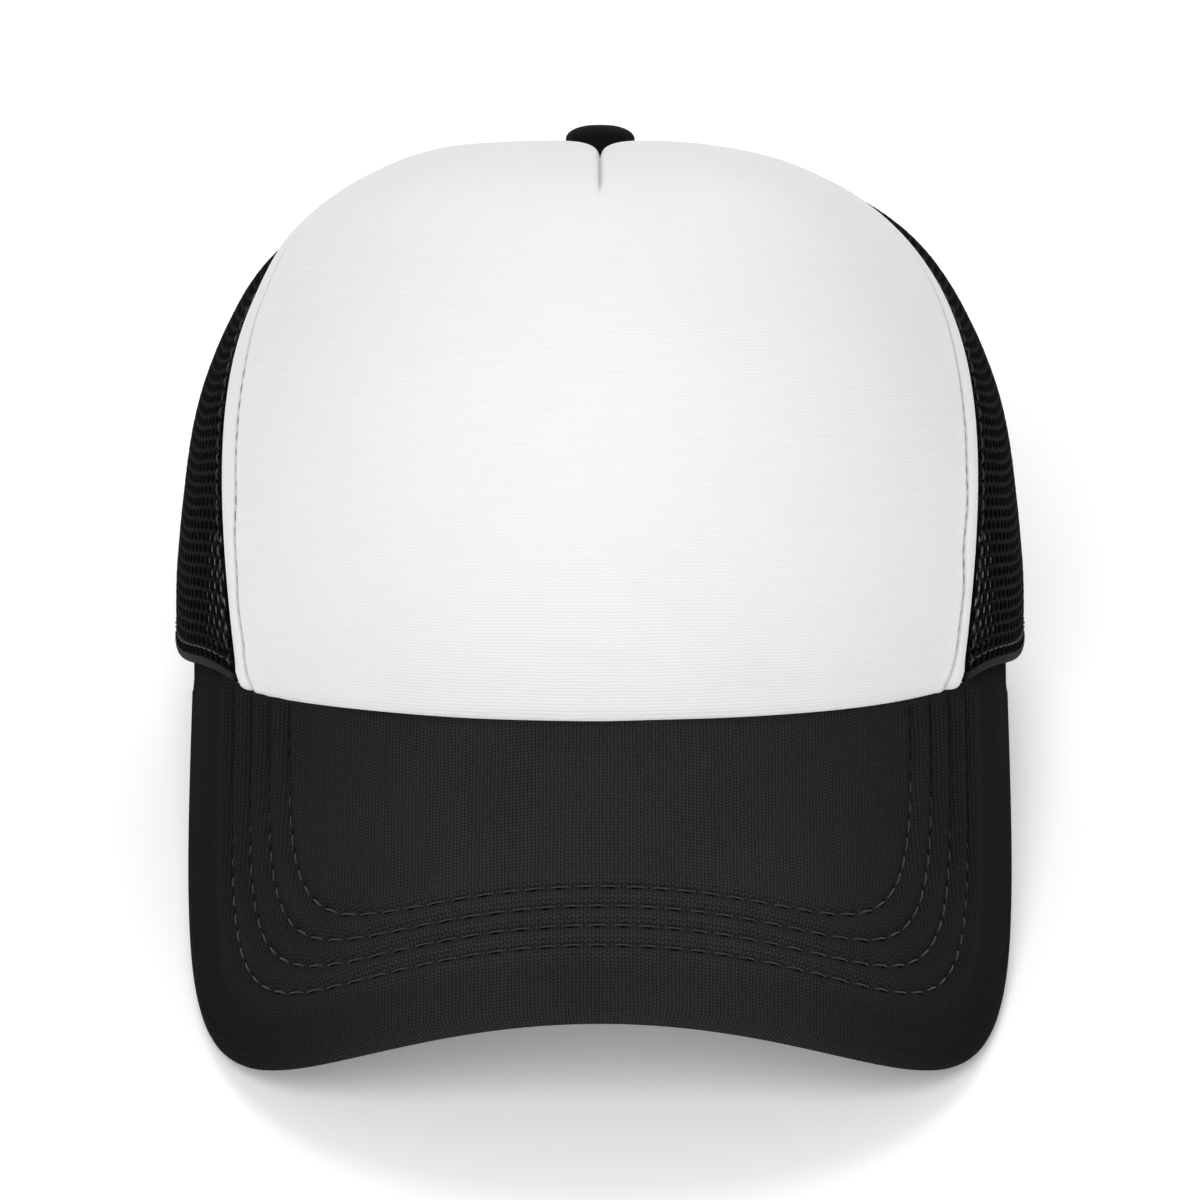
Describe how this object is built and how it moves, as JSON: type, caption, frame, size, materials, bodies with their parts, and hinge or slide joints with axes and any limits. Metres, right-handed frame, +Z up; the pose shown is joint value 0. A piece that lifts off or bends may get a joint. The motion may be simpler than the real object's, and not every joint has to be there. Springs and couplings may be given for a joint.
{
  "type": "trucker mesh cap",
  "caption": "Trucker cap with a white foam front panel, black mesh crown, padded curved visor and a snap strap at the back; it rests on its visor and rear rim.",
  "frame": {"origin": "middle of the bounding box, on the table that the cap rests on with the visor's two lobes and the rim at the nape", "axes": "+Z up from the table, front of the cap toward -Y, wearer's left toward +X; the plane of the rim is tipped back by 14 degrees about X"},
  "size_m": [0.173, 0.2542, 0.1446],
  "materials": {
    "facing_white": "fine ribbed knit",
    "foam_white": "open foam",
    "mesh_black": "knitted net",
    "tape_black": "woven tape",
    "sweatband_black": "brushed twill",
    "pad_foam": "closed foam",
    "visor_knit": "fine padded knit",
    "board": "matte",
    "thread_dark": "twisted thread",
    "thread_light": "twisted thread",
    "button_fabric": "twill",
    "steel": "plain",
    "strap_black": "satin moulded",
    "label_white": "satin ribbon"
  },
  "bodies": {
    "crown": {"front_panel_face": "facing_white", "front_panel_foam": "foam_white", "mesh_panel_side_left": "mesh_black", "mesh_panel_side_right": "mesh_black", "mesh_panel_back_left": "mesh_black", "mesh_panel_back_right": "mesh_black", "seam_tape_front_left": "tape_black", "seam_tape_front_right": "tape_black", "seam_tape_side_left": "tape_black", "seam_tape_side_right": "tape_black", "seam_tape_back": "tape_black", "opening_binding": "tape_black", "sweatband": "sweatband_black", "sweatband_foam": "pad_foam", "sweatband_stitching": "thread_dark", "front_panel_topstitching": "thread_light", "visor_top_cover": "visor_knit", "visor_board": "board", "visor_under_cover": "visor_knit", "visor_topstitching": "thread_dark", "button_cover": "button_fabric", "button_shell": "steel", "button_rivet": "steel", "strap_root_holes": "strap_black", "strap_root_pegs": "strap_black", "strap_stitching_left": "thread_dark", "strap_stitching_right": "thread_dark", "care_label": "label_white"},
    "strap_with_holes": {"snap_strap_holes": "strap_black"},
    "strap_with_pegs": {"snap_strap_pegs": "strap_black"}
  },
  "joints": [
    {"name": "hole_strap_swing", "type": "hinge", "parent": "crown", "child": "strap_with_holes", "pos_m": [0.03795, 0.11207, 0.0136], "axis": [0, -0.2423, -0.9702], "range_deg": [0, 70], "stiffness_Nm_per_rad": 0.01},
    {"name": "peg_strap_swing", "type": "hinge", "parent": "crown", "child": "strap_with_pegs", "pos_m": [-0.0366, 0.10997, 0.01412], "axis": [0, -0.2423, -0.9702], "range_deg": [0, 35], "stiffness_Nm_per_rad": 0.01}
  ]
}
